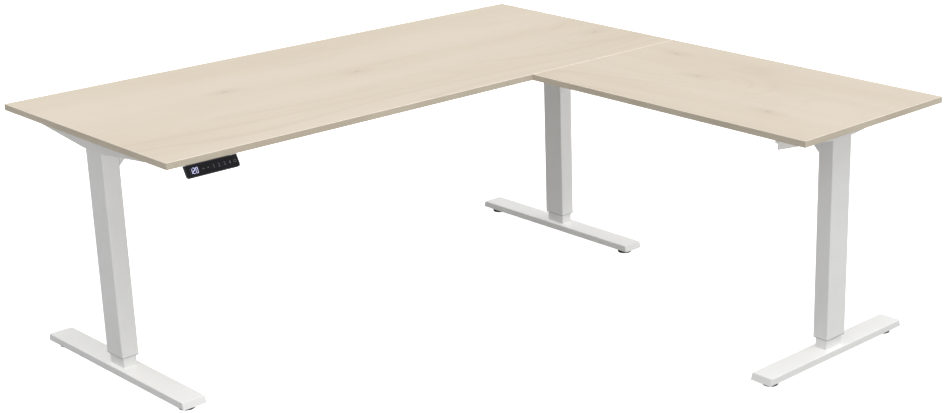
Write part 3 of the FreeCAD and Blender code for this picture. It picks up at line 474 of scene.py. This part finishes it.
def handset_gloss():
    """Back-painted acrylic: black under a clear gloss face with faint finger marks."""
    material, tree, shader = principled("handset_gloss")
    spot = place_on(tree)
    hand = use(tree, HANDLING, vector=spot, scale=60.0)
    edge = use(tree, WORN_EDGE, vector=spot, radius=0.0004)
    cloud = noise(tree, spot, 30.0, 3.0, 0.6)
    colour = blend(tree, cloud, rgb(0.006, 0.006, 0.008), rgb(0.013, 0.013, 0.016))
    colour = blend(tree, scale_to(tree, hand["Speck"], 0.0, 0.08), colour, rgb(0.30, 0.29, 0.28))
    feed(tree, shader, base_color=colour, roughness=scale_to(tree, hand["Smudge"], 0.07, 0.24),
         normal=bump(tree, cloud, 0.00002, 0.3, edge["Normal"]))
    shader.inputs["Specular IOR Level"].default_value = 0.12
    shader.inputs["Coat Weight"].default_value = 0.08
    shader.inputs["Coat Roughness"].default_value = 0.05
    return material


def printed_mark(name, colour, glow, dimmer):
    """Ink or lit marks behind the touch face: slightly uneven, so not one flat colour."""
    material, tree, shader = principled(name)
    spot = place_on(tree)
    uneven = noise(tree, spot, 900.0, 2.0, 0.6)
    tint = blend(tree, ease(tree, uneven, 0.3, 0.7), dimmer, colour)
    feed(tree, shader, base_color=tint, emission_color=tint, roughness=scale_to(tree, uneven, 0.25, 0.45))
    shader.inputs["Emission Strength"].default_value = glow
    return material


def brass():
    """Plated contact pins, lightly drawn and tarnished."""
    material, tree, shader = principled("contact_brass")
    spot = place_on(tree)
    lines = use(tree, DRAWN_LINES, vector=spot, stretch=(300.0, 2400.0, 2400.0))
    colour = blend(tree, lines["Fine"], rgb(0.50, 0.36, 0.14), rgb(0.83, 0.66, 0.34))
    feed(tree, shader, base_color=colour, roughness=scale_to(tree, lines["Fine"], 0.22, 0.42))
    shader.inputs["Metallic"].default_value = 1.0
    return material


QUARTER = math.pi / 2
FINISH = {
    "main_decor": desktop_decor("main_decor", 0.0, (0.35, 0.22, 0.0),
                                ((-0.421, 0.575), (-0.029, 0.494), (0.808, 0.358))),
    "return_decor": desktop_decor("return_decor", QUARTER, (2.6, 1.4, 0.0),
                                  ((0.609, -0.260), (0.450, -0.655), (0.770, -0.030))),
    "edge_decor": edge_decor(),
    "powder_coat": powder_coat(),
    "zinc_steel": plated_steel("zinc_steel", rgb(0.44, 0.45, 0.47), rgb(0.70, 0.71, 0.73), 0.38,
                               (40.0, 900.0, 900.0)),
    "bright_steel": plated_steel("bright_steel", rgb(0.46, 0.46, 0.46), rgb(0.72, 0.71, 0.70), 0.26,
                                 (1500.0, 1500.0, 60.0)),
    "cast_alloy": cast_alloy(),
    "motor_black": moulded_plastic("motor_black", rgb(0.020, 0.020, 0.022), rgb(0.045, 0.045, 0.048), 0.34,
                                   900.0, 0.00004),
    "guide_grey": moulded_plastic("guide_grey", rgb(0.36, 0.36, 0.36), rgb(0.46, 0.46, 0.455), 0.46,
                                  1500.0, 0.00005),
    "glide_black": moulded_plastic("glide_black", rgb(0.016, 0.016, 0.017), rgb(0.034, 0.034, 0.035), 0.55,
                                   1100.0, 0.00009),
    "box_black": moulded_plastic("box_black", rgb(0.022, 0.022, 0.023), rgb(0.040, 0.040, 0.041), 0.50,
                                 1300.0, 0.00009),
    "socket_black": moulded_plastic("socket_black", rgb(0.012, 0.012, 0.012), rgb(0.022, 0.022, 0.022), 0.42,
                                    1800.0, 0.00004),
    "handset_black": moulded_plastic("handset_black", rgb(0.014, 0.014, 0.016),
                                     rgb(0.026, 0.026, 0.028), 0.44, 1700.0, 0.00005),
    "handset_gloss": handset_gloss(),
    "lit_digits": printed_mark("lit_digits", rgb(0.62, 0.63, 0.90), 0.75, rgb(0.50, 0.51, 0.82)),
    "printed_keys": printed_mark("printed_keys", rgb(0.135, 0.14, 0.14), 0.05, rgb(0.09, 0.095, 0.095)),
    "unlit_digits": printed_mark("unlit_digits", rgb(0.020, 0.020, 0.026), 0.0, rgb(0.012, 0.012, 0.016)),
    "status_green": printed_mark("status_green", rgb(0.10, 0.75, 0.20), 0.6, rgb(0.05, 0.50, 0.12)),
    "blank_label": moulded_plastic("blank_label", rgb(0.30, 0.30, 0.30), rgb(0.42, 0.42, 0.41), 0.40,
                                   2200.0, 0.00002),
    "fastener_zinc": plated_steel("fastener_zinc", rgb(0.42, 0.43, 0.45), rgb(0.74, 0.75, 0.77), 0.30,
                                  (260.0, 260.0, 260.0)),
    "contact_brass": brass(),
}


def finish_frame():
    """Gives every part of the frame its finish."""
    for part in frame["record"]["subparts"]:
        name, slot = part["node"], part["material_slot"]
        if slot == "desktop_decor":
            slot = "main_decor" if name == "main_desktop" else "return_decor"
        mesh = frame["nodes"][name].data
        mesh.materials.clear()
        mesh.materials.append(FINISH[slot])


# ---- Making pieces ----------------------------------------------------------------------------

BODY_OF = {part: body for body, parts in frame["record"]["behaviour"]["bodies"].items() for part in parts}
SLOT_OF = {part["node"]: part["material_slot"] for part in frame["record"]["subparts"]}


def keep_piece(bm, name, finish, body, slot, *stands_for):
    """Closes a shape's seams, turns its faces outwards and makes it a piece that rides on a body."""
    bmesh.ops.remove_doubles(bm, verts=bm.verts[:], dist=0.004 * MM)
    bmesh.ops.recalc_face_normals(bm, faces=bm.faces[:])
    mesh = bpy.data.meshes.new(name)
    bm.to_mesh(mesh)
    bm.free()
    mesh.shade_smooth()
    mesh.set_sharp_from_angle(angle=math.radians(32.0))
    mesh.materials.append(FINISH[finish])
    made = bpy.data.objects.new(name, mesh)
    bpy.context.scene.collection.objects.link(made)
    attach(made, body)
    if stands_for:
        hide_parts(*stands_for)
    return made


def pattern(bm, name):
    """Keeps a shape as a mesh that can be stamped many times."""
    bmesh.ops.remove_doubles(bm, verts=bm.verts[:], dist=0.004 * MM)
    mesh = bpy.data.meshes.new(name)
    bm.to_mesh(mesh)
    bm.free()
    return mesh


def stamp(bm, shape, place):
    """Adds a copy of a pattern to a shape, put in its place."""
    before = len(bm.verts)
    bm.from_mesh(shape)
    bm.verts.ensure_lookup_table()
    bmesh.ops.transform(bm, matrix=place, verts=bm.verts[before:])


def stood_at(point, up):
    """A placing that moves the origin to a point and turns Z to a direction."""
    return Matrix.Translation(point) @ up.to_track_quat("Z", "Y").to_matrix().to_4x4()


def turn_profile(bm, profile, steps, closed=False):
    """Spins (radius, height) points, in millimetres, about Z."""
    rim = [bm.verts.new((radius * MM, 0.0, height * MM)) for radius, height in profile]
    pairs = list(zip(rim, rim[1:])) + ([(rim[-1], rim[0])] if closed else [])
    edges = [bm.edges.new(pair) for pair in pairs]
    bmesh.ops.spin(bm, geom=rim + edges, cent=(0, 0, 0), axis=Z, angle=2 * math.pi, steps=steps,
                   use_merge=True)
    bmesh.ops.remove_doubles(bm, verts=bm.verts[:], dist=0.004 * MM)


def trim_round(bm, reach, low, high, inner=0.0):
    """Pulls the turned rings between two heights in to a radius that depends on the angle."""
    for vert in bm.verts:
        radius = math.hypot(vert.co.x, vert.co.y)
        if low * MM <= vert.co.z <= high * MM and radius > inner * MM:
            limit = reach(math.atan2(vert.co.y, vert.co.x)) * MM
            if radius > limit:
                vert.co.x *= limit / radius
                vert.co.y *= limit / radius


def hexagon(flat):
    """The outline of a hexagon by its half width across flats."""
    return lambda angle: flat / math.cos((angle + 1e-6) % (math.pi / 3) - math.pi / 6)


def cross(arm, waist):
    """The outline of a cross recess."""
    return lambda angle: arm if abs((angle + math.pi / 4) % QUARTER - math.pi / 4) < 0.2 else waist


def rounded_block(bm, low, high, radius, segments=2, upright=False):
    """A block between two corners with its edges rounded; upright rounds only those along Z."""
    made = bmesh.ops.create_cube(bm, size=1.0)
    middle = [(a + b) / 2 for a, b in zip(low, high)]
    size = [b - a for a, b in zip(low, high)]
    bmesh.ops.scale(bm, vec=size, verts=made["verts"])
    bmesh.ops.translate(bm, vec=middle, verts=made["verts"])
    edges = {edge for vert in made["verts"] for edge in vert.link_edges}
    if upright:
        edges = {e for e in edges if abs(e.verts[0].co.z - e.verts[1].co.z) > abs(size[2]) / 2}
    bmesh.ops.bevel(bm, geom=list(edges), offset=radius, offset_type="OFFSET", affect="EDGES",
                    segments=segments, profile=0.5, material=-1)


# ---- Screws, bolts and nuts -------------------------------------------------------------------

def fastener(head_radius, head_height, shank_radius, length, drive):
    """A screw or bolt along Z: its seat at zero, its head above, its rolled thread below."""
    bm = bmesh.new()
    top = head_height
    key = head_radius * (0.42 if drive == "hexagon" else 0.58)
    depth = max(top, 1.6) * 0.62
    profile = [(0.0, top - depth), (key, top - depth + 0.05), (key, top - 0.12), (key * 1.12, top)]
    if top > 0.0:
        profile += [(head_radius * 0.80, top), (head_radius * 0.95, top - 0.16 * top),
                    (head_radius, top - 0.40 * top), (head_radius, 0.12), (head_radius - 0.12, 0.0),
                    (shank_radius, 0.0)]
    else:
        sunk = head_radius - shank_radius
        profile += [(head_radius, 0.0), (head_radius, -0.25), (shank_radius, -sunk)]
    pitch = 1.0 if drive == "hexagon" else 1.6
    level = min(-0.9, profile[-1][1] - 0.4)
    while level - pitch > -length + 1.0:
        profile += [(shank_radius * 0.84, level), (shank_radius, level - 0.5 * pitch)]
        level -= pitch
    profile += [(shank_radius * 0.84, level), (shank_radius * 0.84, -length + 0.5),
                (shank_radius * (0.2 if drive == "cross" else 0.7), -length), (0.0, -length)]
    turn_profile(bm, profile, 24)
    outline = hexagon(key * 0.88) if drive == "hexagon" else cross(key, key * 0.42)
    low = top - depth + 0.01
    for vert in bm.verts:
        radius = math.hypot(vert.co.x, vert.co.y)
        if low * MM < vert.co.z < (top - 0.01) * MM and abs(radius - key * MM) < 0.01 * MM:
            share = outline(math.atan2(vert.co.y, vert.co.x)) * MM / radius
            vert.co.x *= min(1.0, share)
            vert.co.y *= min(1.0, share)
    return pattern(bm, "fastener_pattern")


def hex_nut(corner, height, hole):
    """A chamfered hexagon nut standing on zero."""
    bm = bmesh.new()
    flat = corner * math.cos(math.pi / 6)
    turn_profile(bm, [(hole, 0.5), (hole + 0.5, 0.0), (flat * 0.97, 0.0), (corner, 0.7),
                      (corner, height - 0.7), (flat * 0.97, height), (hole + 0.5, height),
                      (hole, height - 0.5)], 24, closed=True)
    trim_round(bm, hexagon(flat), -1.0, height + 1.0)
    return pattern(bm, "nut_pattern")


def islands(node_name):
    """The separate solids of one part of the frame, each as its corner points."""
    bm = bmesh.new()
    bm.from_mesh(frame["nodes"][node_name].data)
    bmesh.ops.remove_doubles(bm, verts=bm.verts[:], dist=0.001 * MM)
    left = set(bm.verts)
    found = []
    while left:
        reached = [left.pop()]
        for vert in reached:
            for edge in vert.link_edges:
                other = edge.other_vert(vert)
                if other in left:
                    left.remove(other)
                    reached.append(other)
        found.append([vert.co.copy() for vert in reached])
    bm.free()
    return found


def read_fastener(points):
    """Where a plain fastener sits: its axis, out of its head, and its sizes in millimetres."""
    low = Vector([min(p[i] for p in points) for i in range(3)])
    high = Vector([max(p[i] for p in points) for i in range(3)])
    size, middle = (high - low) / MM, (high + low) / 2
    apart = [abs(size[i] - (sum(size) - size[i]) / 2) for i in range(3)]
    axis = apart.index(max(apart))
    rings = []
    for p in points:
        away = p - middle
        level = away[axis] / MM
        away[axis] = 0.0
        rings.append((level, away.length / MM))
    half = size[axis] / 2
    wide = [max(r for level, r in rings if level * side > half - 0.05) for side in (1, -1)]
    side = 1 if wide[0] >= wide[1] else -1
    out = Vector([side if i == axis else 0.0 for i in range(3)])
    head_radius = max(r for _, r in rings)
    is_nut = abs(wide[0] - wide[1]) < 0.05
    head_height = max((half - level * side for level, r in rings if r > head_radius - 0.1), default=0.0)
    return {"middle": middle, "out": out, "half": half, "head_radius": head_radius, "is_nut": is_nut,
            "head_height": head_height, "shank_radius": min(wide)}


def dress_fasteners(node_name, drive):
    """Rebuilds every screw, bolt and nut of one part of the frame where it stands."""
    bm = bmesh.new()
    shapes = {}
    for points in islands(node_name):
        it = read_fastener(points)
        height = round(it["head_height"], 1)
        if it["is_nut"]:
            key = ("nut", round(it["head_radius"], 1), round(2 * it["half"], 1))
            if key not in shapes:
                shapes[key] = hex_nut(key[1], key[2], key[1] * 0.5)
            place = stood_at(it["middle"] - it["out"] * it["half"] * MM, it["out"])
        else:
            length = round(2 * it["half"] - height, 1)
            key = (round(it["head_radius"], 1), height, round(it["shank_radius"], 1), length)
            if key not in shapes:
                shapes[key] = fastener(*key, drive)
            place = stood_at(it["middle"] + it["out"] * (it["half"] - height) * MM, it["out"])
        stamp(bm, shapes[key], place)
    for shape in shapes.values():
        bpy.data.meshes.remove(shape)
    keep_piece(bm, node_name + "_turned", "fastener_zinc", BODY_OF[node_name], SLOT_OF[node_name], node_name)


# ---- Levelling glides -------------------------------------------------------------------------

def screw_thread(bm, root, crest, low, high, pitch, steps=20):
    """A single-start thread about Z with both ends closed."""
    turns = int((high - low) / pitch) - 1
    first = [bm.verts.new((r * MM, 0.0, z * MM)) for r, z in
             ((root, low), (crest, low + pitch * 0.42), (crest, low + pitch * 0.58), (root, low + pitch))]
    edges = [bm.edges.new(pair) for pair in zip(first, first[1:])]
    bmesh.ops.spin(bm, geom=first + edges, cent=(0, 0, 0), axis=Z, dvec=(0, 0, pitch * MM / steps),
                   angle=2 * math.pi * turns, steps=steps * turns)
    bmesh.ops.remove_doubles(bm, verts=bm.verts[:], dist=0.004 * MM)
    open_edges = [edge for edge in bm.edges if edge.is_boundary]
    bmesh.ops.holes_fill(bm, edges=open_edges, sides=0)


def glide_pad_shape():
    """The moulded pad: a sole, a ribbed rim, a cone and a hexagon to turn it by."""
    bm = bmesh.new()
    profile = [(0.0, 0.5), (17.6, 0.5), (18.4, 0.0), (20.9, 0.0), (21.7, 0.5), (22.0, 1.2), (22.0, 4.9),
               (21.6, 5.6), (20.8, 6.0), (19.4, 6.2), (14.4, 9.9), (13.3, 10.5), (12.1, 10.7), (11.4, 10.8),
               (11.4, 12.5), (10.9, 13.0), (4.7, 13.0), (4.2, 12.4), (4.2, 9.0), (0.0, 9.0)]
    turn_profile(bm, profile, 96)
    trim_round(bm, hexagon(10.0), 10.75, 13.1, inner=9.5)
    for vert in bm.verts:
        radius = math.hypot(vert.co.x, vert.co.y) / MM
        count = round(math.atan2(vert.co.y, vert.co.x) / (2 * math.pi / 96))
        if radius > 21.5 and 1.0 * MM < vert.co.z < 5.2 * MM and count % 4 < 2:
            vert.co.x *= (radius - 0.7) / radius
            vert.co.y *= (radius - 0.7) / radius
    return pattern(bm, "glide_pad_pattern")


def glide_stud_shape(top):
    """The threaded stud that screws up into the foot, to the height given."""
    bm = bmesh.new()
    screw_thread(bm, 3.35, 3.95, 10.0, top, 1.25)
    return pattern(bm, "glide_stud_pattern")


def make_glides():
    """Pads and studs for both ends of every foot."""
    pad = glide_pad_shape()
    stud = None
    for leg in LEGS:
        for end in ("a", "b"):
            node_name = leg + "_glide_" + end
            low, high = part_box(node_name)
            place = Matrix.Translation(((low.x + high.x) / 2, (low.y + high.y) / 2, low.z))
            stud = stud or glide_stud_shape((high.z - low.z) / MM)
            bm = bmesh.new()
            stamp(bm, pad, place)
            keep_piece(bm, node_name + "_pad", "glide_black", BODY_OF[node_name], "glide_black", node_name)
            bm = bmesh.new()
            stamp(bm, stud, place)
            keep_piece(bm, node_name + "_stud", "fastener_zinc", BODY_OF[node_name], "zinc_steel")
    bpy.data.meshes.remove(pad)
    bpy.data.meshes.remove(stud)


# ---- Handset ----------------------------------------------------------------------------------

SEGMENTS = {  # along and up, from the middle of a digit, as shares of its half width and half height
    "a": ((-0.78, 1.0), (0.78, 1.0)), "b": ((1.0, 0.88), (1.0, 0.10)), "c": ((1.0, -0.10), (1.0, -0.88)),
    "d": ((-0.78, -1.0), (0.78, -1.0)), "e": ((-1.0, -0.10), (-1.0, -0.88)),
    "f": ((-1.0, 0.88), (-1.0, 0.10)), "g": ((-0.78, 0.0), (0.78, 0.0))}
DISPLAY = (("bc", 14.5), ("abged", 22.4), ("abcdef", 30.8))  # lit segments and place of each digit
DIGIT_HALF_WIDE = 2.45
DIGIT_HALF_TALL = 7.0
DIGIT_LEAN = 0.08


def stroke(bm, start, end, width):
    """One printed or lit bar on the touch face, rounded at its ends, in millimetres."""
    along = Vector(end) - Vector(start)
    one = bmesh.new()
    rounded_block(one, (-along.length / 2 * MM - width / 2 * MM, -width / 2 * MM, 0.0),
                  (along.length / 2 * MM + width / 2 * MM, width / 2 * MM, 0.06 * MM), width * 0.42 * MM,
                  2, upright=True)
    shape = pattern(one, "stroke_pattern")
    middle = (Vector(start) + Vector(end)) / 2 * MM
    turn = Matrix.Rotation(math.atan2(along.y, along.x), 4, "Z")
    stamp(bm, shape, Matrix.Translation((middle.x, middle.y, 0.0)) @ turn)
    bpy.data.meshes.remove(shape)


def digit(bm, names, along, up, width):
    """The named segments of a figure about a middle point."""
    for name in names:
        ends = [(along + a * DIGIT_HALF_WIDE + b * DIGIT_HALF_TALL * DIGIT_LEAN, up + b * DIGIT_HALF_TALL)
                for a, b in SEGMENTS[name]]
        stroke(bm, ends[0], ends[1], width)


def chain(bm, points, width):
    """Strokes joined end to end."""
    for start, end in zip(points, points[1:]):
        stroke(bm, start, end, width)


def printed_figure(figure, along, up, tall):
    """A printed figure as flat points joined by strokes."""
    w, h = tall * 0.28, tall / 2
    bow = [(math.cos(t) * w, math.sin(t) * h * 0.5) for t in [math.radians(d) for d in range(150, -61, -30)]]
    shapes = {
        "1": [(-w * 0.5, h * 0.62), (w * 0.15, h), (w * 0.15, -h)],
        "2": [(x, y + h * 0.5) for x, y in bow] + [(-w, -h), (w, -h)],
        "4": [(w * 0.45, -h), (w * 0.45, h), (-w, -h * 0.35), (w * 1.1, -h * 0.35)]}
    upper = [(math.cos(t) * w * 0.92, math.sin(t) * h * 0.48 + h * 0.52)
             for t in [math.radians(d) for d in range(150, -91, -30)]]
    lower = [(math.cos(t) * w, math.sin(t) * h * 0.54 - h * 0.46)
             for t in [math.radians(d) for d in range(90, -151, -30)]]
    shapes["3"] = upper + lower[1:]
    return [(along + x, up + y) for x, y in shapes[figure]]


def make_handset():
    """The lit display and the printed key marks on the sloping touch face."""
    skin = frame["nodes"]["handset_panel"].data
    out = max((side for side in skin.polygons if side.normal.y < 0), key=lambda side: side.area).normal.copy()
    up = out.cross(X)
    corners = [vert.co for vert in skin.vertices]
    ends = [[edge(c.dot(way) for c in corners) for edge in (min, max)] for way in (X, up, out)]
    long, tall = [(ends[i][1] - ends[i][0]) / MM for i in (0, 1)]
    start = X * ends[0][0] + up * ends[1][0] + out * (ends[2][1] + 0.03 * MM)
    place = Matrix.Translation(start) @ Matrix((X, up, out)).transposed().to_4x4()
    middle = tall * 0.49

    lit = bmesh.new()
    for names, along in DISPLAY:
        digit(lit, names, along, middle, 1.15)
    bmesh.ops.transform(lit, matrix=place, verts=lit.verts[:])
    keep_piece(lit, "handset_lit_digits", "lit_digits", BODY_OF["handset_panel"], "handset_gloss")

    ghost = bmesh.new()
    for names, along in DISPLAY:
        digit(ghost, [name for name in SEGMENTS if name not in names], along, middle, 1.1)
    bmesh.ops.transform(ghost, matrix=place, verts=ghost.verts[:])
    keep_piece(ghost, "handset_unlit_digits", "unlit_digits", BODY_OF["handset_panel"], "handset_gloss")

    marks = bmesh.new()
    for share, way in ((0.33, 1), (0.42, -1)):
        along = long * share
        chain(marks, [(along - 2.6, middle - 1.4 * way), (along, middle + 1.6 * way),
                      (along + 2.6, middle - 1.4 * way)], 0.8)
    for share, figure in ((0.53, "1"), (0.63, "2"), (0.735, "3"), (0.84, "4")):
        chain(marks, printed_figure(figure, long * share, middle, 8.6), 0.9)
    a, b, s = long * 0.94, middle, 3.0
    corner = [(a - s + 0.8, b - s), (a + s - 0.8, b - s), (a + s, b - s + 0.8), (a + s, b + s - 0.8),
              (a + s - 0.8, b + s), (a - s + 0.8, b + s), (a - s, b + s - 0.8), (a - s, b - s + 0.8)]
    chain(marks, corner + corner[:1], 0.75)
    bmesh.ops.transform(marks, matrix=place, verts=marks.verts[:])
    keep_piece(marks, "handset_key_marks", "printed_keys", BODY_OF["handset_panel"], "handset_gloss")


# ---- Control box ------------------------------------------------------------------------------

def make_box_fittings():
    """Ribs, a blank label, a status light and contact pins for the control box."""
    low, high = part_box("control_box_cover")
    body = BODY_OF["control_box_cover"]
    mid_y, mid_z = (low.y + high.y) / 2, (low.z + high.z) / 2
    ribs = bmesh.new()
    rib_count = 15
    for i in range(rib_count):
        x = low.x + (high.x - low.x) * (0.18 + 0.64 * i / (rib_count - 1))
        rounded_block(ribs, (x - 2.2 * MM, mid_y - 30 * MM, low.z - 1.2 * MM),
                      (x + 2.2 * MM, mid_y + 30 * MM, low.z + 0.4 * MM), 0.7 * MM, 3)
    keep_piece(ribs, "control_box_ribs", "box_black", body, "box_black")

    plate = bmesh.new()
    rounded_block(plate, (high.x - 36 * MM, mid_y - 20 * MM, low.z - 0.3 * MM),
                  (high.x - 12 * MM, mid_y + 20 * MM, low.z + 0.2 * MM), 0.12 * MM, 2)
    keep_piece(plate, "control_box_blank_label", "blank_label", body, "box_black")

    light = bmesh.new()
    turn_profile(light, [(0.0, 1.3), (0.9, 1.15), (1.5, 0.6), (1.6, 0.0), (2.4, 0.0), (2.4, -0.6),
                         (0.0, -0.6)], 20)
    bmesh.ops.transform(light, matrix=stood_at(Vector((high.x, mid_y + 40 * MM, mid_z)), X),
                        verts=light.verts[:])
    keep_piece(light, "control_box_status_light", "status_green", body, "socket_black")

    pins = bmesh.new()
    for dy, dz in ((-7, 2.5), (7, 2.5), (0, -3.5)):
        rounded_block(pins, (low.x + 4 * MM, mid_y + (dy - 2.0) * MM, mid_z + (dz - 1.0) * MM),
                      (low.x + 15.9 * MM, mid_y + (dy + 2.0) * MM, mid_z + (dz + 1.0) * MM), 0.4 * MM)
    half_pin = 0.45
    for socket in range(4):
        y = mid_y + (socket - 1.5) * 20 * MM
        for dz in (-2.1, 2.1):
            for dy in (-3.9, -1.3, 1.3, 3.9):
                rounded_block(pins, (high.x - 11.9 * MM, y + (dy - half_pin) * MM,
                                     mid_z + (dz - half_pin) * MM),
                              (high.x - 4 * MM, y + (dy + half_pin) * MM, mid_z + (dz + half_pin) * MM),
                              0.15 * MM)
    keep_piece(pins, "control_box_contact_pins", "contact_brass", body, "bright_steel")


make_camera()
make_lights()
make_studio()
finish_frame()
dress_fasteners("wood_screws", "cross")
for fastened in ["frame_bolts", "rail_clamp_screws"] + [leg + "_foot_bolts" for leg in LEGS]:
    dress_fasteners(fastened, "hexagon")
make_glides()
make_handset()
make_box_fittings()
